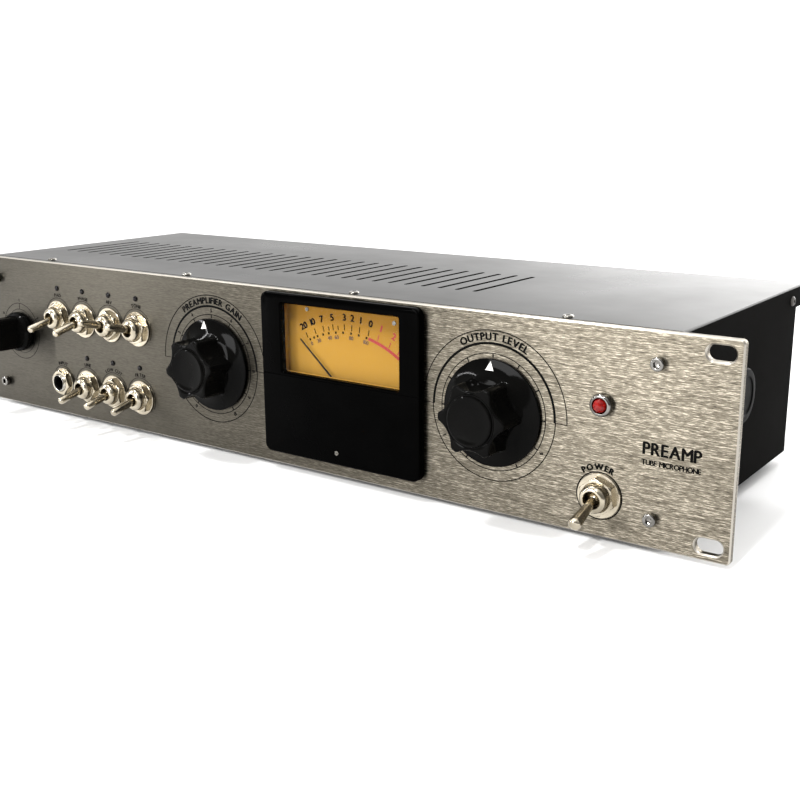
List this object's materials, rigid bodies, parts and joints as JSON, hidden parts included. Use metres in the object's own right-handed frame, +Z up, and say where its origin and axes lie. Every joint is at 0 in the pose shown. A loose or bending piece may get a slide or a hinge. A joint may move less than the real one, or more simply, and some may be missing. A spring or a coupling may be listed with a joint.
{
  "type": "rack effects unit",
  "caption": "Two-unit rack tube preamplifier with a brushed aluminium panel, lobed knobs, bat toggles, an amber needle meter, a red lamp and a vented black case.",
  "frame": {"origin": "centre of the bounding box at floor level, under the four feet", "axes": "+X to the right of someone facing the front panel, +Y from the front panel to the rear wall, +Z up"},
  "size_m": [0.4826, 0.1792, 0.09],
  "materials": {
    "panel_aluminium": "brushed, clear anodised",
    "tray_paint": "fine satin black paint",
    "cover_paint": "smooth satin dark paint",
    "knob_phenolic": "polished black phenolic",
    "meter_black": "gloss black moulding",
    "black_plastic": "satin moulding",
    "zinc_plate": "bright zinc plate",
    "jack_plating": "nickel plate",
    "nickel": "warm nickel plate",
    "chrome": "bright chrome plate",
    "scale_card": "printed amber card",
    "clear_window": "clear acrylic",
    "needle_black": "satin black",
    "red_lens": "moulded red jewel",
    "foot_rubber": "matt",
    "core_steel": "varnished laminations",
    "circuit_board": "solder mask",
    "tube_glass": "clear glass"
  },
  "bodies": {
    "chassis": {"front_panel": "panel_aluminium", "chassis_tray": "tray_paint", "top_cover": "cover_paint", "side_plug": "black_plastic", "gain_pot": "zinc_plate", "output_pot": "zinc_plate", "filter_rotary": "zinc_plate", "jack_socket": "jack_plating", "jack_nut": "nickel", "meter_case": "meter_black", "meter_scale": "scale_card", "meter_window": "clear_window", "indicator_bezel": "chrome", "indicator_lens": "red_lens", "mains_inlet": "black_plastic", "mic_input_socket": "black_plastic", "line_output_socket": "black_plastic", "power_transformer": "core_steel", "main_board": "circuit_board", "tube_1": "tube_glass", "tube_2": "tube_glass", "panel_screw_1": "zinc_plate", "foot_1": "foot_rubber", "panel_screw_2": "zinc_plate", "foot_2": "foot_rubber", "panel_screw_3": "zinc_plate", "foot_3": "foot_rubber", "panel_screw_4": "zinc_plate", "foot_4": "foot_rubber", "upper_toggle_1_switch": "nickel", "upper_toggle_1_nut": "nickel", "upper_toggle_2_switch": "nickel", "upper_toggle_2_nut": "nickel", "upper_toggle_3_switch": "nickel", "upper_toggle_3_nut": "nickel", "upper_toggle_4_switch": "nickel", "upper_toggle_4_nut": "nickel", "lower_toggle_1_switch": "nickel", "lower_toggle_1_nut": "nickel", "lower_toggle_2_switch": "nickel", "lower_toggle_2_nut": "nickel", "lower_toggle_3_switch": "nickel", "lower_toggle_3_nut": "nickel", "power_toggle_switch": "nickel", "power_toggle_nut": "nickel"},
    "gain_control": {"gain_knob": "knob_phenolic", "gain_shaft": "zinc_plate"},
    "output_control": {"output_knob": "knob_phenolic", "output_shaft": "zinc_plate"},
    "filter_control": {"filter_knob": "knob_phenolic", "filter_shaft": "zinc_plate"},
    "needle": {"meter_needle": "needle_black"},
    "upper_toggle_1_arm": {"upper_toggle_1_lever": "nickel"},
    "upper_toggle_2_arm": {"upper_toggle_2_lever": "nickel"},
    "upper_toggle_3_arm": {"upper_toggle_3_lever": "nickel"},
    "upper_toggle_4_arm": {"upper_toggle_4_lever": "nickel"},
    "lower_toggle_1_arm": {"lower_toggle_1_lever": "nickel"},
    "lower_toggle_2_arm": {"lower_toggle_2_lever": "nickel"},
    "lower_toggle_3_arm": {"lower_toggle_3_lever": "nickel"},
    "power_toggle_arm": {"power_toggle_lever": "nickel"}
  },
  "joints": [
    {"name": "gain_turn", "type": "hinge", "parent": "chassis", "child": "gain_control", "pos_m": [-0.0315, -0.06585, 0.0466], "axis": [0, 1, 0], "range_deg": [-141, 159]},
    {"name": "output_turn", "type": "hinge", "parent": "chassis", "child": "output_control", "pos_m": [0.1348, -0.06585, 0.0466], "axis": [0, 1, 0], "range_deg": [-150, 150]},
    {"name": "filter_turn", "type": "hinge", "parent": "chassis", "child": "filter_control", "pos_m": [-0.191, -0.06585, 0.0468], "axis": [0, 1, 0], "range_deg": [-60, 60]},
    {"name": "needle_swing", "type": "hinge", "parent": "chassis", "child": "needle", "pos_m": [0.05302, -0.06285, 0.0414], "axis": [0, 1, 0], "range_deg": [0, 97], "stiffness_Nm_per_rad": 0.0002},
    {"name": "upper_toggle_1_flip", "type": "hinge", "parent": "chassis", "child": "upper_toggle_1_arm", "pos_m": [-0.1544, -0.06935, 0.0588], "axis": [1, 0, 0], "range_deg": [-28, 0]},
    {"name": "upper_toggle_2_flip", "type": "hinge", "parent": "chassis", "child": "upper_toggle_2_arm", "pos_m": [-0.13235, -0.06935, 0.0588], "axis": [1, 0, 0], "range_deg": [-28, 0]},
    {"name": "upper_toggle_3_flip", "type": "hinge", "parent": "chassis", "child": "upper_toggle_3_arm", "pos_m": [-0.1103, -0.06935, 0.0588], "axis": [1, 0, 0], "range_deg": [0, 28]},
    {"name": "upper_toggle_4_flip", "type": "hinge", "parent": "chassis", "child": "upper_toggle_4_arm", "pos_m": [-0.08825, -0.06935, 0.0588], "axis": [1, 0, 0], "range_deg": [0, 28]},
    {"name": "lower_toggle_1_flip", "type": "hinge", "parent": "chassis", "child": "lower_toggle_1_arm", "pos_m": [-0.13235, -0.06935, 0.0208], "axis": [1, 0, 0], "range_deg": [-28, 0]},
    {"name": "lower_toggle_2_flip", "type": "hinge", "parent": "chassis", "child": "lower_toggle_2_arm", "pos_m": [-0.1103, -0.06935, 0.0208], "axis": [1, 0, 0], "range_deg": [-28, 0]},
    {"name": "lower_toggle_3_flip", "type": "hinge", "parent": "chassis", "child": "lower_toggle_3_arm", "pos_m": [-0.08825, -0.06935, 0.0208], "axis": [1, 0, 0], "range_deg": [-28, 0]},
    {"name": "power_toggle_flip", "type": "hinge", "parent": "chassis", "child": "power_toggle_arm", "pos_m": [0.1859, -0.06935, 0.0194], "axis": [1, 0, 0], "range_deg": [-36, 0]}
  ]
}
